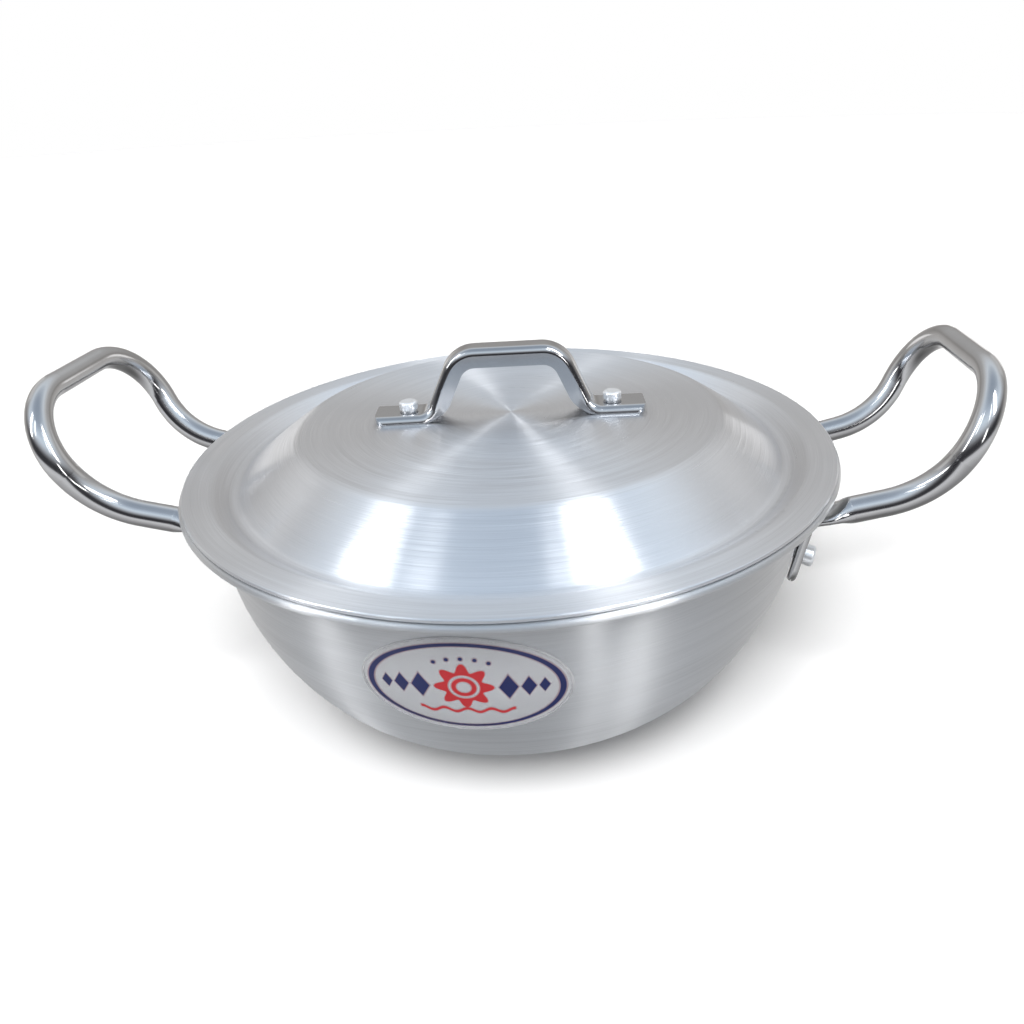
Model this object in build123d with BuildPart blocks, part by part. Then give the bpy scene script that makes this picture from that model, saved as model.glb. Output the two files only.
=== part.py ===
from build123d import *
import math
import os

os.makedirs("parts", exist_ok=True)

# A lidded kadai: a round spun bowl with a flat turned-out rim and two tube handles, and a loose lid
# with a pressed strap handle. The origin is on the bowl's axis at the underside of the base, +X runs
# through the two tube handles and +Z points up. All lengths are in millimetres, angles in degrees.

# Bowl
bowl_height = 98
rim_radius = 131
rim_width = 12.5
base_radius = 44
bowl_sheet = 2.6
rim_bend = 3.4
rim_edge_round = 1.2
# Where the steep upper wall meets the rounder lower wall, as shares of mouth radius and bowl height
knee_shares = (0.8135, 0.2816)

# Lid: it ends a little inside the rim's edge, and its crease drops into the mouth
lid_edge_inset = 1
lid_sheet = 1.5
lid_gap = 0.3
lid_rise = 14.3
crown_round = 8
slope_width = 25
slope_bulge = 0.8
slope_round = 150
crease_mouth_gap = 7.5
crease_drop = 4.2
crease_round = 4
brim_width = 11
brim_round = 5
lid_edge_round = 0.6
lid_turn = 5

# Lid handle, a pressed channel that is open below
strap_length = 110.6
strap_rivet_inset = 13.3
strap_rise = 29.5
strap_sheet = 1.4
strap_round = 3
# An edge of the strap that climbs more steeply than this is an end, not a long edge
steepest_edge = 85
foot_height = 3
foot_width = 17.6
foot_corner_round = 4
foot_corner_spread = 69.2
grip_width = 12
grip_depth = 7.9
grip_corner_spread = 46
grip_round = 14.4
foot_bend_round = 4.4
neck_round = 8
# Where the feet start and stop narrowing, as shares of the distance between the foot corners
neck_shares = (1.02, 0.82)

# Side handles, round tube with flattened ends
tube_diameter = 10
tube_wall = 1.5
grip_beyond_rim = 51.5
grip_above_rim = 36
grip_half_length = 47.4
leg_bend_beyond_rim = 28.6
leg_bend_below_rim = 6.7
leg_bend_half_spread = 37.8
# How much of the leg between its two corners is taken by the bend at each
bend_shares = (0.35, 0.636)
root_below_rim = 17
paddle_width = 15.6
paddle_seam = 0.4
paddle_bend_round = 6
paddle_tail = 12.4
flat_run = 10
squeeze_run = 10
# Cross-sections through the change from flat to round, the flat one and the round one included
squeeze_sections = 6

# Rivets
handle_rivet_below_rim = 33
handle_rivet_half_spread = 31.6
handle_rivet_shank = 5
handle_rivet_head = 8.2
handle_rivet_head_height = 4
handle_rivet_inner_head = 10
handle_rivet_inner_height = 1.4
lid_rivet_shank = 4.6
lid_rivet_head = 7.6
lid_rivet_head_height = 3.2
lid_rivet_neck = 6
lid_rivet_neck_height = 0.9
lid_rivet_tail = 7.6
lid_rivet_tail_height = 1.2
head_edge_round = 1.1
tail_edge_round = 0.5
hole_clearance = 0.1
seat_gap = 0.3

overrun = 5

# Bowl wall, worked out: the steep upper wall is one arc that starts upright under the rim bend
mouth_radius = rim_radius - rim_width
wall_top_height = bowl_height - bowl_sheet - rim_bend
knee = (mouth_radius * knee_shares[0], bowl_height * knee_shares[1])
knee_inset = mouth_radius - knee[0]
knee_depth = wall_top_height - knee[1]
upper_arc_radius = (knee_inset**2 + knee_depth**2) / (2 * knee_inset)


def wall_radius(height):
    """Outside radius of the upper wall at a height."""
    return mouth_radius - upper_arc_radius + math.sqrt(upper_arc_radius**2 - (wall_top_height - height) ** 2)


# Paddle of the front leg of the right handle: a plane that touches the wall at the rivet
rivet_height = bowl_height - handle_rivet_below_rim
rivet_radius = wall_radius(rivet_height)
rivet_azimuth = math.asin(handle_rivet_half_spread / rivet_radius)
wall_tilt = math.asin((wall_top_height - rivet_height) / upper_arc_radius)
outward = Vector(math.cos(rivet_azimuth), -math.sin(rivet_azimuth), 0)
across = Vector(math.sin(rivet_azimuth), math.cos(rivet_azimuth), 0)
up = Vector(0, 0, 1)
wall_normal = outward * math.cos(wall_tilt) - up * math.sin(wall_tilt)
wall_rise = outward * math.sin(wall_tilt) + up * math.cos(wall_tilt)
rivet_point = outward * rivet_radius + up * rivet_height

# The tube is pressed flat until its walls almost meet
paddle_thickness = 2 * tube_wall + paddle_seam
paddle_middle = seat_gap + paddle_thickness / 2
root_climb = (bowl_height - root_below_rim - rivet_height) / math.cos(wall_tilt)
tip_centre = rivet_point + wall_normal * paddle_middle - wall_rise * (paddle_tail - paddle_width / 2)
root = rivet_point + wall_normal * paddle_middle + wall_rise * root_climb
leg_bend = Vector(rim_radius + leg_bend_beyond_rim, -leg_bend_half_spread, bowl_height - leg_bend_below_rim)
grip_corner = Vector(rim_radius + grip_beyond_rim, -grip_half_length, bowl_height + grip_above_rim)
leg_slope = math.atan2(leg_bend.Z - root.Z, leg_bend.X - root.X)
flat_direction = outward * math.cos(leg_slope) + up * math.sin(leg_slope)
flat_corner = root + flat_direction * flat_run
leg_direction = (leg_bend - flat_corner).normalized()
flat_end = flat_corner - flat_direction * squeeze_run / 2
round_start = flat_corner + leg_direction * squeeze_run / 2

# Bends of the tube: each takes its share of the leg between the two
leg = grip_corner - leg_bend
leg_bend_round, grip_bend_round = (
    leg.length * share / math.tan(math.radians(turn) / 2)
    for share, turn in zip(bend_shares, (leg_direction.get_angle(leg), leg.get_angle(Vector(0, 1, 0))))
)
print("bend radii", round(leg_bend_round, 1), round(grip_bend_round, 1))


def mirrored_y(point):
    return Vector(point.X, -point.Y, point.Z)


def draw_again(edges):
    """Draw a sheet's outline afresh in plain lines and arcs, which rivet holes cut cleanly."""
    for edge in edges:
        if edge.geom_type == GeomType.LINE:
            Line(edge @ 0, edge @ 1)
        else:
            ThreePointArc(edge @ 0, edge @ 0.5, edge @ 1)


# Bowl: one sheet from rim to base, revolved
rim_under = bowl_height - bowl_sheet
with BuildLine() as bowl_outline:
    with BuildLine():
        rim_line = Line((rim_radius, rim_under), (mouth_radius + rim_bend, rim_under))
        bend_arc = JernArc(rim_line @ 1, rim_line % 1, radius=rim_bend, arc_size=90)
        upper_wall = TangentArc(bend_arc @ 1, knee, tangent=bend_arc % 1)
        lower_wall = TangentArc(knee, (base_radius, 0), tangent=upper_wall % 1)
        Line((base_radius, 0), (0, 0))
    offset(amount=bowl_sheet, side=Side.RIGHT)

with BuildPart() as bowl:
    with BuildSketch(Plane.XZ) as bowl_section:
        with BuildLine():
            draw_again(bowl_outline.edges())
        make_face()
        rim_corners = bowl_section.vertices().group_by(Axis.X)[-1]
        fillet(rim_corners, radius=rim_edge_round)
    revolve(axis=Axis.Z)
    for side in (1, -1):
        for end in (1, -1):
            spot = Vector(rivet_point.X * side, rivet_point.Y * end, rivet_point.Z)
            way = Vector(wall_normal.X * side, wall_normal.Y * end, wall_normal.Z)
            with BuildSketch(Plane(origin=spot, z_dir=way)):
                Circle(handle_rivet_shank / 2 + hole_clearance)
            extrude(amount=bowl_sheet + overrun, both=True, mode=Mode.SUBTRACT)
bowl.part.label = "bowl"

# Lid: one sheet from the crown's centre to the brim's edge, revolved
crown_top = bowl_height + lid_rise
lid_frame = Plane.XY.offset(crown_top).rotated((0, 0, lid_turn))
brim_top = bowl_height + lid_gap + lid_sheet
crease_top = bowl_height - crease_drop
lid_radius = rim_radius - lid_edge_inset
brim_inner_radius = lid_radius - brim_width
crease_radius = mouth_radius - crease_mouth_gap
crown_radius = crease_radius - slope_width
slope_fall = crown_top - crease_top
lid_rivet_spread = strap_length - 2 * strap_rivet_inset
slope_length = math.hypot(slope_width, slope_fall)
slope_middle = (
    (crown_radius + crease_radius) / 2 + slope_bulge * slope_fall / slope_length,
    (crown_top + crease_top) / 2 + slope_bulge * slope_width / slope_length,
)
with BuildLine() as lid_outline:
    with BuildLine():
        FilletPolyline(
            (0, crown_top),
            (crown_radius, crown_top),
            slope_middle,
            (crease_radius, crease_top),
            (brim_inner_radius, brim_top),
            (lid_radius, brim_top),
            radius=[crown_round, slope_round, crease_round, brim_round],
        )
    offset(amount=lid_sheet, side=Side.RIGHT)

with BuildPart() as lid:
    with BuildSketch(Plane.XZ) as lid_section:
        with BuildLine():
            draw_again(lid_outline.edges())
        make_face()
        edge_corners = lid_section.vertices().group_by(Axis.X)[-1]
        fillet(edge_corners, radius=lid_edge_round)
    revolve(axis=Axis.Z)
    with BuildSketch(lid_frame):
        with GridLocations(lid_rivet_spread, 0, 2, 1):
            Circle(lid_rivet_shank / 2 + hole_clearance)
    extrude(amount=-lid_sheet - overrun, mode=Mode.SUBTRACT)
lid.part.label = "lid"

# Lid handle: one form for the outside and the same form, smaller by the sheet, for the hollow
strap_side = Plane(origin=lid_frame.origin, x_dir=lid_frame.x_dir, z_dir=-lid_frame.y_dir)
leg_angle = math.atan2(strap_rise - foot_height, (foot_corner_spread - grip_corner_spread) / 2)


def strap_line(inset, low, high, end_x):
    """Corners of a side line that runs inside the strap's outer line by an inset, foot to foot."""
    shift = inset / math.sin(leg_angle)
    foot_x = foot_corner_spread / 2 - shift - (low - foot_height) / math.tan(leg_angle)
    grip_x = foot_corner_spread / 2 - shift - (high - foot_height) / math.tan(leg_angle)
    half = [(end_x, low), (foot_x, low), (grip_x, high)]
    return [(-x, y) for x, y in half] + half[::-1]


def strap_form(inset, end_x):
    """The strap as a solid block with rolled long edges, everywhere smaller by an inset."""
    low, high = foot_height - inset, strap_rise - inset
    rounds = [foot_bend_round + inset, grip_round - inset]
    wide_x, slim_x = (foot_corner_spread / 2 * share for share in neck_shares)
    wide_y, slim_y = foot_width / 2 - inset, grip_width / 2 - inset
    quarter = [(end_x, wide_y), (wide_x, wide_y), (slim_x, slim_y)]
    edge_line = quarter + [(-x, y) for x, y in reversed(quarter)]
    with BuildPart() as form:
        with BuildSketch(strap_side):
            with BuildLine():
                top_line = FilletPolyline(*strap_line(inset, low, high, end_x), radius=rounds + rounds[::-1])
                Polyline(top_line @ 0, (-end_x, -overrun), (end_x, -overrun), top_line @ 1)
            make_face()
        extrude(amount=foot_width, both=True)
        with BuildSketch(lid_frame.offset(-overrun)) as plan:
            with BuildLine():
                Polyline(*edge_line, *[(x, -y) for x, y in reversed(edge_line)], close=True)
            make_face()
            necks = plan.vertices().filter_by(lambda v: abs(v.X) < end_x - overrun)
            fillet(necks, radius=neck_round)
        extrude(amount=strap_rise + 2 * overrun, mode=Mode.INTERSECT)
        long_edges = form.edges().filter_by(
            lambda e: abs(e.tangent_at(0.5).Z) < math.sin(math.radians(steepest_edge))
            and lid_frame.to_local_coords(e @ 0.5).Z > 0
            and abs(lid_frame.to_local_coords(e @ 0.5).Y) > slim_y / 2
        )
        fillet(long_edges, radius=strap_round - inset)
    return form.part


with BuildPart() as lid_handle:
    add(strap_form(0, strap_length / 2))
    with BuildSketch(strap_side):
        with BuildLine():
            low_rounds = [foot_bend_round + grip_depth, grip_round - grip_depth]
            lip_line = FilletPolyline(
                *strap_line(grip_depth, 0, strap_rise - grip_depth, strap_length / 2 + overrun),
                radius=low_rounds + low_rounds[::-1],
            )
            Polyline(
                lip_line @ 0,
                lip_line @ 0 - (0, 2 * overrun),
                lip_line @ 1 - (0, 2 * overrun),
                lip_line @ 1,
            )
        make_face()
    extrude(amount=foot_width, both=True, mode=Mode.SUBTRACT)
    add(strap_form(strap_sheet, strap_length / 2 + overrun), mode=Mode.SUBTRACT)
    with BuildSketch(lid_frame.offset(-overrun)):
        RectangleRounded(strap_length, foot_width, foot_corner_round)
    extrude(amount=strap_rise + 2 * overrun, mode=Mode.INTERSECT)
    with BuildSketch(lid_frame):
        with GridLocations(lid_rivet_spread, 0, 2, 1):
            Circle(lid_rivet_shank / 2 + hole_clearance)
    extrude(amount=foot_height + overrun, mode=Mode.SUBTRACT)
lid_handle.part.label = "lid_handle"

# Side handles: a bent tube whose ends are squeezed flat, folded down and riveted to the wall
paddle_plane = Plane(origin=rivet_point, x_dir=across, z_dir=wall_normal)
tip_plane = Plane(origin=tip_centre, x_dir=across, z_dir=wall_rise)
with BuildPart() as leg_end:
    with BuildLine() as fold_line:
        FilletPolyline(tip_centre, root, flat_end, radius=paddle_bend_round)
    with BuildSketch(tip_plane):
        SlotOverall(paddle_width, paddle_thickness)
        SlotOverall(paddle_width - 2 * tube_wall, paddle_seam, mode=Mode.SUBTRACT)
    sweep(path=fold_line.line)
    with BuildSketch(tip_plane):
        SlotOverall(paddle_width, paddle_thickness)
        with Locations((paddle_width / 2, 0)):
            Rectangle(paddle_width, paddle_thickness, mode=Mode.INTERSECT)
    revolve(axis=Axis(tip_centre, -wall_normal), revolution_arc=180)
    with BuildSketch(tip_plane):
        SlotOverall(paddle_width - 2 * tube_wall, paddle_seam)
    extrude(amount=-paddle_width, mode=Mode.SUBTRACT)
    with BuildSketch(paddle_plane):
        Circle(handle_rivet_shank / 2 + hole_clearance)
    extrude(amount=paddle_thickness + overrun, mode=Mode.SUBTRACT)

with BuildLine() as squeeze_line:
    Bezier(flat_end, flat_corner, round_start)


def squeeze_form(width, thickness, diameter):
    """The change from a flat slot to a circle, through ovals of four arcs that run smoothly together."""
    with BuildPart() as form:
        for section in range(squeeze_sections):
            run_share = section / (squeeze_sections - 1)
            change = run_share**2 * (3 - 2 * run_share)
            side_x = (width + (diameter - width) * change) / 2
            top_y = (thickness + (diameter - thickness) * change) / 2
            turn = math.radians(45 * change)
            middle_x = (side_x - top_y) / (1 - math.tan(turn / 2))
            side_round = side_x - middle_x
            corner_x, corner_y = middle_x + side_round * math.sin(turn), side_round * math.cos(turn)
            place, way = squeeze_line.line @ run_share, squeeze_line.line % run_share
            with BuildSketch(Plane(origin=place, x_dir=across, z_dir=way)):
                with BuildLine():
                    for end in (1, -1):
                        left, right = (-corner_x * end, corner_y * end), (corner_x * end, corner_y * end)
                        if change:
                            ThreePointArc(left, (0, top_y * end), right)
                        else:
                            Line(left, right)
                        ThreePointArc(right, (side_x * end, 0), (corner_x * end, -corner_y * end))
                make_face()
        loft()
    return form.part


with BuildPart() as right_handle:
    add(leg_end.part)
    add(squeeze_form(paddle_width, paddle_thickness, tube_diameter))
    add(
        squeeze_form(paddle_width - 2 * tube_wall, paddle_seam, tube_diameter - 2 * tube_wall),
        mode=Mode.SUBTRACT,
    )
    mirror(about=Plane.XZ)
    with BuildLine() as tube_line:
        FilletPolyline(
            round_start,
            leg_bend,
            grip_corner,
            mirrored_y(grip_corner),
            mirrored_y(leg_bend),
            mirrored_y(round_start),
            radius=[leg_bend_round, grip_bend_round, grip_bend_round, leg_bend_round],
        )
    with BuildSketch(Plane(origin=round_start, x_dir=across, z_dir=leg_direction)):
        Circle(tube_diameter / 2)
        Circle(tube_diameter / 2 - tube_wall, mode=Mode.SUBTRACT)
    sweep(path=tube_line.line)
right_handle.part.label = "right_handle"

with BuildPart() as left_handle:
    mirror(right_handle.part, about=Plane.YZ)
left_handle.part.label = "left_handle"


# Rivets: each one turned in a single piece, with rounded rims on its two free faces
def rivet(side_plane, start, steps):
    """A rivet along its plane's Y axis, as steps of a diameter and the place where it ends."""
    corners = [(0, start)]
    for diameter, end in steps:
        corners += [(diameter / 2, corners[-1][1]), (diameter / 2, end)]
    with BuildPart() as body:
        with BuildSketch(side_plane) as profile:
            with BuildLine():
                Polyline(*corners, (0, corners[-1][1]), close=True)
            make_face()
            for layer, edge_round in ((0, tail_edge_round), (-1, head_edge_round)):
                free_rim = profile.vertices().group_by(Axis.Y)[layer].filter_by(lambda v: v.X > 0)
                fillet(free_rim, radius=edge_round)
        revolve(axis=Axis(side_plane.origin, side_plane.y_dir))
    return body.part


with BuildPart() as right_front_rivet:
    add(
        rivet(
            Plane(origin=rivet_point, x_dir=across, z_dir=across.cross(wall_normal)),
            -bowl_sheet - seat_gap - handle_rivet_inner_height,
            [
                (handle_rivet_inner_head, -bowl_sheet - seat_gap),
                (handle_rivet_shank, seat_gap + paddle_thickness),
                (handle_rivet_head, seat_gap + paddle_thickness + handle_rivet_head_height),
            ],
        )
    )
right_front_rivet.part.label = "right_front_rivet"

with BuildPart() as right_back_rivet:
    mirror(right_front_rivet.part, about=Plane.XZ)
right_back_rivet.part.label = "right_back_rivet"

with BuildPart() as left_front_rivet:
    mirror(right_front_rivet.part, about=Plane.YZ)
left_front_rivet.part.label = "left_front_rivet"

with BuildPart() as left_back_rivet:
    mirror(right_back_rivet.part, about=Plane.YZ)
left_back_rivet.part.label = "left_back_rivet"

neck_top = foot_height + lid_rivet_neck_height
with BuildPart() as lid_right_rivet:
    add(
        rivet(
            Plane(
                origin=lid_frame.from_local_coords((lid_rivet_spread / 2, 0, 0)),
                x_dir=strap_side.x_dir,
                z_dir=strap_side.z_dir,
            ),
            -lid_sheet - lid_rivet_tail_height,
            [
                (lid_rivet_tail, -lid_sheet),
                (lid_rivet_shank, foot_height),
                (lid_rivet_neck, neck_top),
                (lid_rivet_head, neck_top + lid_rivet_head_height),
            ],
        )
    )
lid_right_rivet.part.label = "lid_right_rivet"

with BuildPart() as lid_left_rivet:
    mirror(lid_right_rivet.part, about=Plane(origin=lid_frame.origin, z_dir=lid_frame.x_dir))
lid_left_rivet.part.label = "lid_left_rivet"

for node in (
    bowl,
    right_handle,
    left_handle,
    right_front_rivet,
    right_back_rivet,
    left_front_rivet,
    left_back_rivet,
    lid,
    lid_handle,
    lid_right_rivet,
    lid_left_rivet,
):
    export_step(node.part, "parts/" + node.part.label + ".step")
    print(node.part.label, round(node.part.volume, 1), len(node.part.solids()))
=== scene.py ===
# %% [markdown]
# # A lidded kadai
# A kadai is a round pan for frying and simmering. This one is spun from aluminium sheet, has two bent
# steel tubes for handles, and a loose stepped lid with a pressed steel strap to lift it by.
# The solids come ready made from the frame. This file gives them their finishes, adds a film label, and
# sets the camera and the lights.

# %% Load the frame
import math

import bmesh
import bpy
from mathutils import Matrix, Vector


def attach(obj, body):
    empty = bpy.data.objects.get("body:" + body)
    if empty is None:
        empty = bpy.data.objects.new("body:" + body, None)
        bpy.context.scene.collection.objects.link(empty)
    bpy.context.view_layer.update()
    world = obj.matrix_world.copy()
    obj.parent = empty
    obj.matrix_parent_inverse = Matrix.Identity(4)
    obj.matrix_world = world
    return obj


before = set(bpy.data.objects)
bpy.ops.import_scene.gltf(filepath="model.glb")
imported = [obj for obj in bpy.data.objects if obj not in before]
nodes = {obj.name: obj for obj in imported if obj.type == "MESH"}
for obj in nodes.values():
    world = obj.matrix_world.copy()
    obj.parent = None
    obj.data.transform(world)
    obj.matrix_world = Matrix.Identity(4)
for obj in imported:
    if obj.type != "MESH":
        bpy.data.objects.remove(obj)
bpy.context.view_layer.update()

scene = bpy.context.scene
mm = 0.001

# %% [markdown]
# ## Camera
# The photograph was taken from close by, a little above the lid. The camera looks some 15 degrees down,
# and a shifted lens moves the frame down the rest of the way. More tilt would frame the pan as well, but
# it would squeeze the bowl's outline towards the foot.

# %% Camera
lens_data = bpy.data.cameras.new("camera")
lens_data.sensor_width = 36
lens_data.lens = 32.18
lens_data.shift_x = -0.0406
lens_data.shift_y = -0.1885
lens_data.clip_start = 0.01
camera = bpy.data.objects.new("camera", lens_data)
camera.location = (0.04102, -0.35421, 0.24788)
camera.rotation_euler = [math.radians(turn) for turn in (74.8057, 2.3782, 2.8827)]
scene.collection.objects.link(camera)
scene.camera = camera
print("camera height over the base in mm", round(camera.location.z / mm), "lens", round(lens_data.lens, 2))

# %% [markdown]
# ## Shader maths in plain words
# A material in Blender is a graph of nodes. Joining them by hand makes long code, so one class stands for
# an output socket and lets it be added, multiplied and divided like a number. Every other node comes from
# the finish's own node method.


# %% A socket that can be reckoned with
class Wire:
    """One node's output, which sums and products turn into Math nodes."""

    def __init__(self, finish, socket):
        self.finish = finish
        self.socket = socket

    def do(self, operation, *others):
        """A Math node on this wire and others."""
        return self.finish.maths(operation, self, *others)

    def __add__(self, other):
        return self.do("ADD", other)

    def __sub__(self, other):
        return self.do("SUBTRACT", other)

    def __mul__(self, other):
        return self.do("MULTIPLY", other)

    def __truediv__(self, other):
        return self.do("DIVIDE", other)

    def __rsub__(self, other):
        return self.finish.maths("SUBTRACT", other, self)

    __radd__ = __add__
    __rmul__ = __mul__

    def root(self):
        return self.do("SQRT")

    def unsigned(self):
        """The number without its sign."""
        return self.do("ABSOLUTE")

    def swing(self, reach):
        """Noise, which runs round a half, as a change up and down of some reach."""
        return (self - 0.5) * reach


def methods_of(kind):
    return [name for name in vars(kind) if callable(getattr(kind, name))]


print("a wire can", methods_of(Wire))


# %% A finish and its nodes
def fill_ramp(ramp, stops):
    """Set a ramp's stops, as (place, colour) pairs in rising order."""
    for place, colour in stops[1:-1]:
        ramp.elements.new(place)
    for element, (place, colour) in zip(ramp.elements, stops):
        element.position = place
        element.color = (*colour, 1)


class Finish:
    """The nodes of one material or of the room's light, with a method that adds a node."""

    def __init__(self, owner):
        self.owner = owner
        owner.use_nodes = True
        self.tree = owner.node_tree
        self.tree.nodes.clear()

    def node(self, kind, settings=None, sockets=None, output=0):
        """Add a node: first its settings, then the values or links of its sockets."""
        made = self.tree.nodes.new("ShaderNode" + kind)
        for name, value in (settings or {}).items():
            if name == "stops":
                fill_ramp(made.color_ramp, value)
            else:
                setattr(made, name, value)
        for name, value in (sockets or {}).items():
            if isinstance(value, Wire):
                self.tree.links.new(value.socket, made.inputs[name])
            else:
                made.inputs[name].default_value = value
        return Wire(self, made.outputs[output]) if made.outputs else None

    def maths(self, operation, *values):
        return self.node("Math", {"operation": operation}, dict(enumerate(values)))

    def mix(self, share, first, second):
        """A colour between two others."""
        return self.node("Mix", {"data_type": "RGBA"}, {0: share, 6: first, 7: second}, output=2)

    def parts(self, vector):
        """The three numbers of a vector."""
        return [self.node("SeparateXYZ", {}, {0: vector}, output=part) for part in range(3)]

    def point(self, x, y, z):
        """A vector from three numbers."""
        return self.node("CombineXYZ", {}, {0: x, 1: y, 2: z})

    def ramped(self, value, start, end, low=0.0, high=1.0):
        """A number that runs from low to high while another runs from start to end."""
        return self.node("MapRange", {}, {0: value, 1: start, 2: end, 3: low, 4: high})

    def place(self):
        """Where a point is on the object, in metres."""
        return self.node("TexCoord", output=3)

    def noise(self, place, scale, detail):
        """Cloudy noise from nothing to one."""
        return self.node("TexNoise", {}, {"Vector": place, "Scale": scale, "Detail": detail})

    def dents(self, strength, depth, height):
        """A normal that is pushed in and out by a height."""
        return self.node("Bump", {}, {"Strength": strength, "Distance": depth, "Height": height})

    def surface(self, sockets):
        """End a material with the main shader and hand the material back."""
        shader = self.node("BsdfPrincipled", {}, sockets)
        self.node("OutputMaterial", {}, {"Surface": shader})
        return self.owner


def new_finish(name):
    return Finish(bpy.data.materials.new(name))


print("a finish can", methods_of(Finish))

# %% [markdown]
# ## Spun aluminium
# The bowl and the lid turn on a lathe while a tool presses them to shape and an abrasive cloth follows it.
# That leaves rings of fine grooves round the axis. Light then spreads across the rings and stays sharp
# along them, so a lamp shows as a bright fan on the flat crown and as upright bars on the slope.
# The rings are noise that reads the distance from the axis, the height, and only slowly the way round.
# It reads the way round as two numbers, along and beside, so that it has no seam where the turn closes.


# %% Noise in rings
class Turned:
    """Where a point is on a turned piece: its distance from the axis, height, and outward direction."""

    def __init__(self, finish):
        self.finish = finish
        self.place = finish.place()
        x, y, self.height = finish.parts(self.place)
        off_zero = 1e-9
        self.radius = (x * x + y * y + off_zero).root()
        self.along, self.beside = x / self.radius, y / self.radius

    def rings(self, size, turns, detail):
        """Noise in rings: its size across them, and how often it changes round them."""
        spot = self.finish.point(self.radius / size, self.height / size, self.along * turns)
        noise = {"Vector": spot, "W": self.beside * turns, "Scale": 1.0, "Detail": detail, "Roughness": 0.6}
        return self.finish.node("TexNoise", {"noise_dimensions": "4D"}, noise)


print("a turned piece has", methods_of(Turned))

# %% [markdown]
# Part of the spread across the rings is the shader's anisotropy. The rest is the grooves' own lean, which
# tips the surface in and out but never sideways along a ring.
# On the lid the lean also comes from its profile. On an arc the outward share of the normal grows evenly
# with the radius, so a few even ramps draw the crown's edge and the crease exactly, free of facets.


# %% Lean of the grooves
def groove_normal(turned, tip, profile, profile_end):
    """The surface's own normal, tipped outwards by the grooves, with the profile's lean where it has one."""
    finish = turned.finish
    across, beyond, rise = finish.parts(finish.node("NewGeometry", output=1))
    lean = across * turned.along + beyond * turned.beside
    if profile:
        faces_up = 0.3
        drawn = sum(
            finish.ramped(turned.radius, start * mm, end * mm, 0.0, turn) for start, end, turn in profile
        )
        drawn_rise = (1 - drawn * drawn).root()
        on_top = rise.do("GREATER_THAN", faces_up) * turned.radius.do("LESS_THAN", profile_end * mm)
        lean = lean + (drawn - lean) * on_top
        rise = rise + (drawn_rise - rise) * on_top
    out = lean + rise * tip
    tipped = finish.point(out * turned.along, out * turned.beside, rise - lean * tip)
    return finish.node("VectorMath", {"operation": "NORMALIZE"}, {0: tipped})


# Each stretch of the lid's profile: where it starts and ends in mm, and how much the lean grows over it
lid_profile = [(83.585, 88.015, 0.553), (92.5, 104.9, 0.083), (108.6, 113.5, -1.236), (117.7, 120.7, 0.6)]
lid_profile_end = 129.4
print("steepest lean of the lid's slope", round(sum(turn for start, end, turn in lid_profile[:2]), 3))


# %% Spun aluminium
groove_shade, ridge_shade = 0.86, 1.05


def spun_aluminium(name, tint, ring_size, groove_lean, roughness_middle, profile=(), profile_end=0):
    finish = new_finish(name)
    turned = Turned(finish)
    fine = turned.rings(ring_size, turns=2.2, detail=2.0)
    wide = turned.rings(ring_size * 7, turns=1.6, detail=2.0)
    scratch = finish.ramped(turned.rings(ring_size * 1.2, turns=4.0, detail=0.0), 0.70, 0.80)
    cloud = finish.noise(turned.place, 16.0, 3.0)
    tone = fine.swing(1.1) + wide.swing(0.8) + cloud.swing(0.25) + scratch * 0.15 + 0.5
    dark = [part * groove_shade for part in tint]
    light = [min(1, part * ridge_shade) for part in tint]
    tip = fine.swing(groove_lean) + wide.swing(groove_lean * 0.25)
    return finish.surface(
        {
            "Base Color": finish.mix(tone, (*dark, 1), (*light, 1)),
            "Metallic": 1.0,
            "Roughness": roughness_middle + wide.swing(0.10) + cloud.swing(0.06) - scratch * 0.02,
            "Anisotropic": 1.0,
            "Anisotropic Rotation": 0.25,
            "Normal": groove_normal(turned, tip, profile, profile_end),
        }
    )


bowl_metal = spun_aluminium("spun_aluminium_bowl", (0.875, 0.885, 0.90), 0.45 * mm, 0.5, 0.40)
lid_metal = spun_aluminium(
    "spun_aluminium_lid", (0.89, 0.905, 0.935), 0.35 * mm, 0.6, 0.31, lid_profile, lid_profile_end
)
print("metals", bowl_metal.name, lid_metal.name, "nodes", len(lid_metal.node_tree.nodes))

# %% [markdown]
# ## Polished steel
# The tubes and the strap are stainless steel, buffed until they mirror the room. What keeps them from
# looking like glass is a faint haze and the small waves that bending leaves in the wall.


# %% Polished steel
def polished_steel(name, shade, roughness_middle):
    finish = new_finish(name)
    place = finish.place()
    haze, waves, marks = (
        finish.noise(place, scale, detail) for scale, detail in ((90.0, 4.0), (45.0, 1.0), (900.0, 2.0))
    )
    dark = (shade - 0.04, shade - 0.04, shade - 0.035, 1)
    light = (shade + 0.03, shade + 0.03, shade + 0.035, 1)
    return finish.surface(
        {
            "Base Color": finish.mix(haze, dark, light),
            "Metallic": 1.0,
            "Roughness": roughness_middle + haze.swing(0.12) + marks.swing(0.06),
            "Normal": finish.dents(0.25, 0.15 * mm, waves),
        }
    )


tube_metal = polished_steel("polished_steel_tube", 0.58, 0.13)
strap_metal = polished_steel("polished_steel_strap", 0.53, 0.12)
print("steels", tube_metal.name, strap_metal.name)
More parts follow.
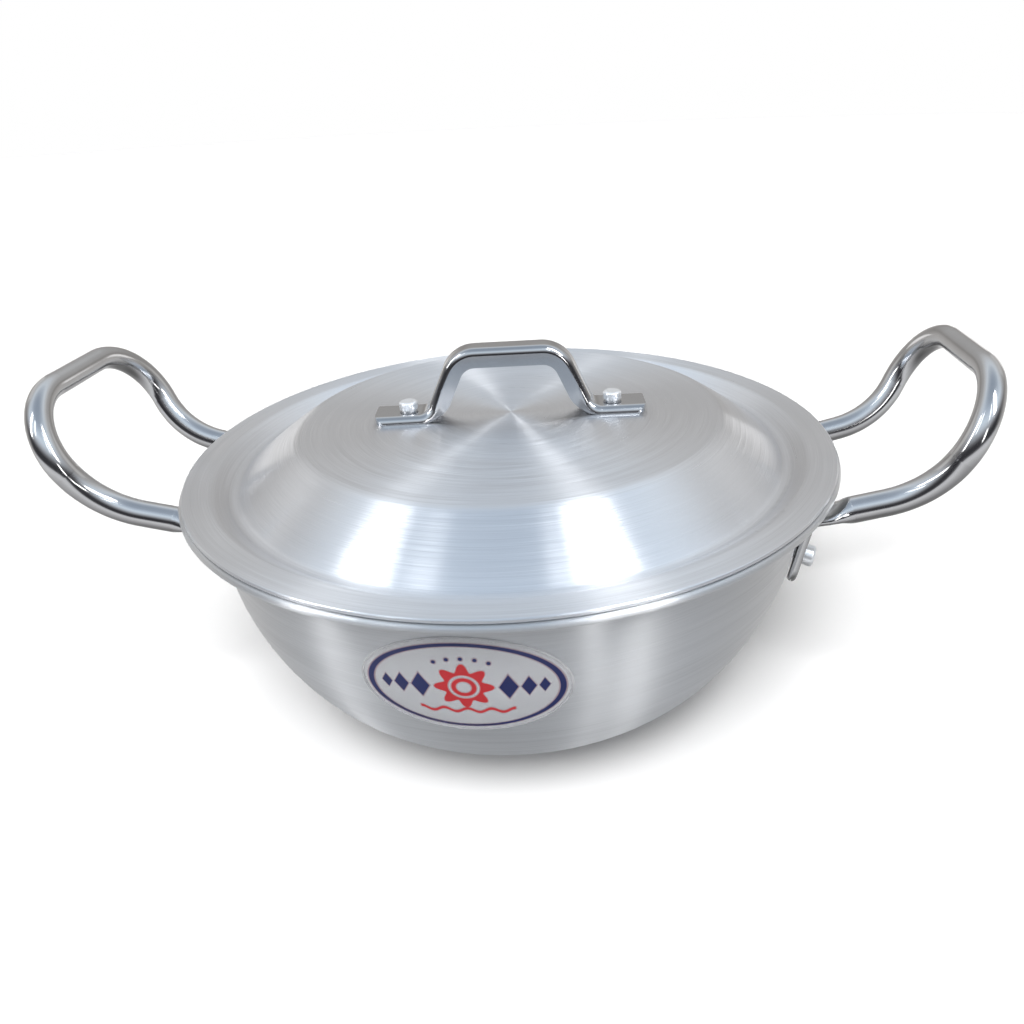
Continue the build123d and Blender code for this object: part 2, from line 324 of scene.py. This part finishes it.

# %% [markdown]
# ## Rivets
# The rivets are soft aluminium, hammered cold, so their heads are pale and satin with small dimples. The base
# colour is painted darker in the dimples' hollows: painted shade.


# %% Rivet aluminium
def hammered_aluminium():
    finish = new_finish("rivet_aluminium")
    place = finish.place()
    dimples_and_shade = finish.noise(place, 700.0, 2.0)
    grain = finish.noise(place, 2500.0, 2.0)
    return finish.surface(
        {
            # Base colour follows the dimples' depth, darker in their hollows: painted shade, not the metal's
            # own colour.
            "Base Color": finish.mix(dimples_and_shade, (0.84, 0.87, 0.91, 1), (0.96, 0.98, 1.0, 1)),
            "Metallic": 0.75,
            "Roughness": 0.32 + grain.swing(0.2),
            "Normal": finish.dents(0.5, 0.1 * mm, dimples_and_shade + grain * 0.3),
        }
    )


rivet_metal = hammered_aluminium()
print("rivets", rivet_metal.name)

# %% [markdown]
# ## Dress the solids
# A solid from the frame keeps its mesh. Only its material slots change, so that it can't drift from the
# model that the physics uses.


# %% Give each solid its finish
def dress(name, metal):
    mesh = nodes[name].data
    mesh.materials.clear()
    mesh.materials.append(metal)


dress("bowl", bowl_metal)
dress("lid", lid_metal)
dress("lid_handle", strap_metal)
for side in ("left", "right"):
    dress(side + "_handle", tube_metal)
    dress("lid_" + side + "_rivet", rivet_metal)
    for end in ("front", "back"):
        dress(side + "_" + end + "_rivet", rivet_metal)
for name in sorted(nodes):
    print(name, "wears", nodes[name].data.materials[0].name)

# %% [markdown]
# ## Film label
# The pan carries a clear printed film on the front of its wall. It is a thin sheet that follows the wall, so
# it starts as a flat disc, is stretched to an oval, and is then wrapped on to the wall's own arc, a hair
# outside it. The disc keeps its flat places in a UV map, which the print reads later.

# %% Places on the wall
film_half_width, film_half_height = 35 * mm, 21.5 * mm
film_middle, film_turn = 65.5 * mm, math.radians(-3)
wall_arc, wall_arc_radius, wall_top = 104.9 * mm, 118.5 * mm, 92 * mm
film_lift, film_thickness = 0.10 * mm, 0.08 * mm


def wrapped(flat_x, flat_y):
    """A point of the flat film on the wall, by the length along the wall in both directions."""
    down = math.asin((wall_top - film_middle) / wall_arc) - flat_y / wall_arc
    reach = wall_arc_radius - wall_arc + (wall_arc + film_lift) * math.cos(down)
    turn = film_turn + flat_x / wall_arc_radius
    height = wall_top - (wall_arc + film_lift) * math.sin(down)
    return Vector((reach * math.sin(turn), -reach * math.cos(turn), height))


print("middle of the film in mm", [round(part / mm, 1) for part in wrapped(0, 0)])

# %% Wrap the film on the wall
film = bmesh.new()
bmesh.ops.create_circle(film, cap_ends=True, cap_tris=True, segments=96, radius=1)
spokes = [e for e in film.edges if min(v.co.length for v in e.verts) < 0.5]
bmesh.ops.subdivide_edges(film, edges=spokes, cuts=14, use_grid_fill=True)
flat_place = film.loops.layers.uv.new("flat_place")
for face in film.faces:
    for corner in face.loops:
        corner[flat_place].uv = corner.vert.co.x / 2 + 0.5, corner.vert.co.y / 2 + 0.5
for vert in film.verts:
    vert.co = wrapped(vert.co.x * film_half_width, vert.co.y * film_half_height)
bmesh.ops.recalc_face_normals(film, faces=film.faces)
if sum(face.normal.y for face in film.faces) > 0:
    bmesh.ops.reverse_faces(film, faces=film.faces)
print("film faces", len(film.faces), "half its width in mm", round(film_half_width / mm, 1))

# %% The film as a piece
film_data = bpy.data.meshes.new("film_label")
film.to_mesh(film_data)
film.free()
film_data.shade_smooth()
film_label = bpy.data.objects.new("film_label", film_data)
scene.collection.objects.link(film_label)
thicken = film_label.modifiers.new("thicken", "SOLIDIFY")
thicken.thickness, thicken.offset = film_thickness, 1
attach(film_label, "pan")
print("film points", len(film_data.vertices), "rides on the pan")

# %% [markdown]
# ## Print on the film
# The motif is a plain one: a rosette between diamonds, with dots above it and a wavy band below it, inside
# an oval line, with no words. Each shape is drawn as a share, one inside it and nothing outside, from the
# distances across and up from the film's middle. That keeps the edges sharp from close by.


# %% Drawing with shares
def inside(value, edge, soft=0.25):
    """One where a value is below an edge, nothing above it, with a soft step between."""
    return value.finish.ramped(value, edge - soft, edge + soft, 1.0, 0.0)


def length(first, second):
    """How long a line is that goes some way across and some way up."""
    return (first * first + second * second).root()


def either(*shares):
    """The largest of some shares."""
    whole = shares[0]
    for share in shares[1:]:
        whole = whole.do("MAXIMUM", share)
    return whole


print("shares are drawn by", inside.__name__, length.__name__, either.__name__)


# %% The motif, in millimetres from the film's middle
motif_level = 1.5
petal_count, petal_reach, petal_depth = 8.0, 8.2, 1.6
eye_radius, ring_radius, ring_half_width = 2.4, 4.6, 0.45
diamond_places, diamond_tallness = ((14.2, 3.3), (20.6, 2.6), (25.6, 1.9)), 1.7
dot_places, dot_radius = ((0.0, 13.2), (4.4, 12.8), (8.6, 11.6)), 0.85
band_level, band_waves, wave_height, band_half_height, band_reach = -9.6, 0.8, 0.9, 0.8, 16.0
oval_half_width, oval_half_height, line_half_share, line_soft_share = 31.5, 18.5, 0.04, 0.012


def rosette_share(x, y):
    """The rosette's petals, without its eye and a clear ring."""
    from_middle = length(x, y - motif_level)
    petals = ((y - motif_level).do("ARCTAN2", x) * petal_count).do("COSINE") * petal_depth
    flower = inside(from_middle - (petals + petal_reach), 0.0)
    clear_ring = inside((from_middle - ring_radius).unsigned(), ring_half_width)
    return flower * (1 - inside(from_middle, eye_radius)) * (1 - clear_ring)


def diamond_share(to_side, y):
    """Diamonds on both sides, each by its distance from the middle and its half width."""
    rise = (y - motif_level).unsigned()
    return either(
        *(
            inside((to_side - place).unsigned() / half + rise / (half * diamond_tallness), 1.0, 0.1)
            for place, half in diamond_places
        )
    )


def dot_share(to_side, y):
    """Dots on both sides, each by its distances from the middle."""
    return either(*(inside(length(to_side - across, y - above), dot_radius) for across, above in dot_places))


def band_share(to_side, y):
    """The wavy band below the rosette."""
    wave = (to_side * band_waves).do("COSINE") * wave_height - (y - band_level)
    return inside(wave.unsigned(), band_half_height) * inside(to_side, band_reach)


def line_share(x, y):
    """The oval line, whose half width is a share of the oval."""
    oval = length(x / oval_half_width, y / oval_half_height)
    return inside((oval - 1.0).unsigned(), line_half_share, line_soft_share)


print("petals", petal_count, "diamonds", 2 * len(diamond_places), "dots", 2 * len(dot_places) - 1)


# %% Printed film
film_haze, edge_haze = 0.30, 0.45


def printed_film():
    finish = new_finish("printed_film")
    u, v = finish.parts(finish.node("UVMap", {"uv_map": "flat_place"}))[:2]
    x, y = (u * 2 - 1) * (film_half_width / mm), (v * 2 - 1) * (film_half_height / mm)
    to_side = x.unsigned()
    red = either(rosette_share(x, y), band_share(to_side, y))
    navy = either(line_share(x, y), diamond_share(to_side, y), dot_share(to_side, y))
    ink = either(red, navy)
    inks = finish.mix(navy, (0.42, 0.018, 0.024, 1), (0.012, 0.018, 0.09, 1))
    crinkle = finish.noise(finish.place(), 60.0, 2.0)
    edge = inside(1.0 - length(u * 2 - 1, v * 2 - 1), 0.02, 0.01)
    return finish.surface(
        {
            "Base Color": finish.mix(ink, (0.66, 0.67, 0.70, 1), inks),
            "Roughness": 0.22 + crinkle.swing(0.1),
            "Alpha": either(ink, edge * edge_haze) * (1 - film_haze) + film_haze,
            "Normal": finish.dents(0.3, 0.1 * mm, crinkle),
        }
    )


film_data.materials.append(printed_film())
print("print nodes", len(film_data.materials[0].node_tree.nodes))

# %% [markdown]
# ## Floor
# The pan stands on a white sweep: a level sheet of paper with a wall far behind the pan, which throws some
# light back to it. A pale curtain that lights nothing closes the view on the other sides.
# Both are kept out of the reflections, where the painted room below stands for them.


# %% A studio piece
def staged(name, shape, finish):
    """Put a studio piece in the scene, out of the reflections."""
    data = bpy.data.meshes.new(name)
    shape.to_mesh(data)
    shape.free()
    data.materials.append(finish)
    piece = bpy.data.objects.new(name, data)
    scene.collection.objects.link(piece)
    piece.visible_glossy = False
    return piece


def raise_edges(shape, edges, height):
    """Pull a wall up from some edges."""
    pulled = bmesh.ops.extrude_edge_only(shape, edges=edges)["geom"]
    risen = [v for v in pulled if isinstance(v, bmesh.types.BMVert)]
    bmesh.ops.translate(shape, verts=risen, vec=(0, 0, height))
    return len(risen)


floor_reach, wall_height = 4, 4
sweep = bmesh.new()
bmesh.ops.create_grid(sweep, x_segments=1, y_segments=1, size=floor_reach)
raised = raise_edges(sweep, [e for e in sweep.edges if all(v.co.y > 0 for v in e.verts)], wall_height)
paper = {"Base Color": (0.9, 0.9, 0.9, 1), "Roughness": 0.9, "Specular IOR Level": 0.0}
staged("floor", sweep, new_finish("white_paper").surface(paper))
print("floor reaches in m", floor_reach, "wall height", wall_height, "raised points", raised)

# %% Curtain round the floor
curtain_radius, curtain_height = 3.9, 2
ring = bmesh.new()
bmesh.ops.create_circle(ring, segments=64, radius=curtain_radius)
raised = raise_edges(ring, ring.edges[:], curtain_height)
cloth = {
    "Base Color": (0, 0, 0, 1),
    "Specular IOR Level": 0.0,
    "Emission Color": (1, 1, 1, 1),
    "Emission Strength": 1.0,
}
curtain = staged("curtain", ring, new_finish("lit_curtain").surface(cloth))
curtain.visible_diffuse = False
curtain.visible_shadow = False
print("curtain radius and height in m", curtain_radius, curtain_height, "raised points", raised)

# %% [markdown]
# ## Room
# Metal has no colour of its own and shows the room, so the room is painted with care: one ramp of tones by
# height for what lies in front of the pan, one for what lies behind it, and a smooth change at the sides.
# In front, a dark band at the height of the horizon draws the dark lines on the tubes and the strap. Under
# it lies a pale table that fades towards the foot of the bowl, and over it a cool ceiling. Behind, the room
# is a warm grey up to the ceiling. Its light reaches the metal alone, and a lamp of its own lights the floor.


# %% Room
def share_of(angle):
    """Place on a ramp of a height over the horizon, in degrees."""
    return math.sin(math.radians(angle)) / 2 + 0.5


before_pan = [
    (-90, (0.10, 0.10, 0.10)),
    (-66, (0.17, 0.17, 0.17)),
    (-47, (0.41, 0.41, 0.42)),
    (-28, (0.66, 0.67, 0.68)),
    (-18, (0.62, 0.63, 0.65)),
    (-15, (0.12, 0.12, 0.13)),
    (-9, (0.04, 0.04, 0.045)),
    (3, (0.04, 0.04, 0.045)),
    (11, (0.13, 0.13, 0.14)),
    (19, (0.34, 0.36, 0.39)),
    (30, (0.60, 0.66, 0.73)),
    (40, (0.72, 0.83, 0.94)),
    (52, (0.57, 0.66, 0.77)),
    (68, (0.36, 0.43, 0.52)),
    (90, (0.33, 0.39, 0.47)),
]
behind_pan = [
    (-90, (0.18, 0.18, 0.18)),
    (-60, (0.19, 0.19, 0.19)),
    (-45, (0.25, 0.25, 0.25)),
    (-28, (0.50, 0.50, 0.50)),
    (-10, (0.46, 0.45, 0.44)),
    (0, (0.42, 0.41, 0.40)),
    (11, (0.29, 0.28, 0.27)),
    (19, (0.38, 0.375, 0.37)),
    (30, (0.42, 0.42, 0.42)),
    (40, (0.56, 0.57, 0.58)),
    (55, (0.68, 0.74, 0.80)),
    (90, (0.33, 0.39, 0.47)),
]
world = bpy.data.worlds.new("room")
scene.world = world
world.cycles_visibility.diffuse = False
room = Finish(world)
depth, climb = room.parts(room.node("TexCoord", output=0))[1:]


def layers(tones):
    stops = [(share_of(angle), tone) for angle, tone in tones]
    return room.node("ValToRGB", {"stops": stops}, {0: climb * 0.5 + 0.5})


before, behind = layers(before_pan), layers(behind_pan)
smooth, half_blend, room_glow = {"interpolation_type": "SMOOTHSTEP"}, 0.45, 1.3
turned_back = room.node("MapRange", smooth, {0: depth, 1: -half_blend, 2: half_blend})
sky = room.node("Background", {}, {"Color": room.mix(turned_back, before, behind), "Strength": room_glow})
room.node("OutputWorld", {}, {"Surface": sky})
print("room tones", len(before_pan), len(behind_pan))

# %% [markdown]
# ## Lamps
# Tall narrow lamps stand round the pan for the metal alone. They make the bars on the lid's slope, the
# fans on its crown and the bright stretches of the bowl. Windows and panes behind the pan lighten the far
# sides of the slope. A broad soft sun high in front lights the floor and leaves the shadow under the pan.


# %% Lamps
def lamp_of(kind, name, spot, power, aim):
    """A lamp of a kind at a spot, turned to its aim."""
    data = bpy.data.lights.new(name, kind)
    data.energy = power
    lamp = bpy.data.objects.new(name, data)
    lamp.location = spot
    lamp.rotation_euler = (Vector(aim) - Vector(spot)).to_track_quat("-Z", "Y").to_euler()
    scene.collection.objects.link(lamp)
    return lamp


pan_middle = Vector((0, 0, 0.09))
strip_distance = 1.2


def strip(name, turn, climb_angle, width, height, glow):
    """A lamp seen by metal alone: its turn from the front, its height, its size and its brightness."""
    turn, climb_angle = math.radians(turn), math.radians(climb_angle)
    flat = math.cos(climb_angle)
    heading = Vector((math.sin(turn) * flat, -math.cos(turn) * flat, math.sin(climb_angle)))
    power = glow * math.pi * width * height
    lamp = lamp_of("AREA", name, heading * strip_distance + pan_middle, power, pan_middle)
    lamp.data.shape = "RECTANGLE"
    lamp.data.size, lamp.data.size_y = width, height
    lamp.visible_diffuse = False
    print(name, "power", round(power, 3))


# Name, turn and height in degrees, width and height in metres, brightness
strip("strip_left", -62, 33, 0.08, 0.85, 12)
strip("strip_left_inner", -38, 44, 0.06, 0.55, 3.5)
strip("strip_right_inner", 23, 44, 0.04, 0.55, 4)
strip("strip_right", 48, 46, 0.18, 0.85, 11)
strip("strip_right_low", 28, 6, 0.10, 0.35, 6)
strip("window_left", -140, 2, 0.5, 0.25, 0.7)
strip("window_right", 140, 2, 0.5, 0.25, 0.7)
strip("pane_left", -118, 22, 0.6, 0.45, 0.25)
strip("pane_right", 125, 22, 0.6, 0.45, 0.2)

# %% Lamp for the floor
key_from, key_power, key_spread = (0, -0.7, 1.0), 4.45, math.radians(34)
key = lamp_of("SUN", "key", key_from, key_power, (0, 0, 0))
key.data.angle = key_spread
key.visible_glossy = False
scene.view_settings.view_transform = "Standard"
print("key lamp's spread in degrees", round(math.degrees(key.data.angle)))
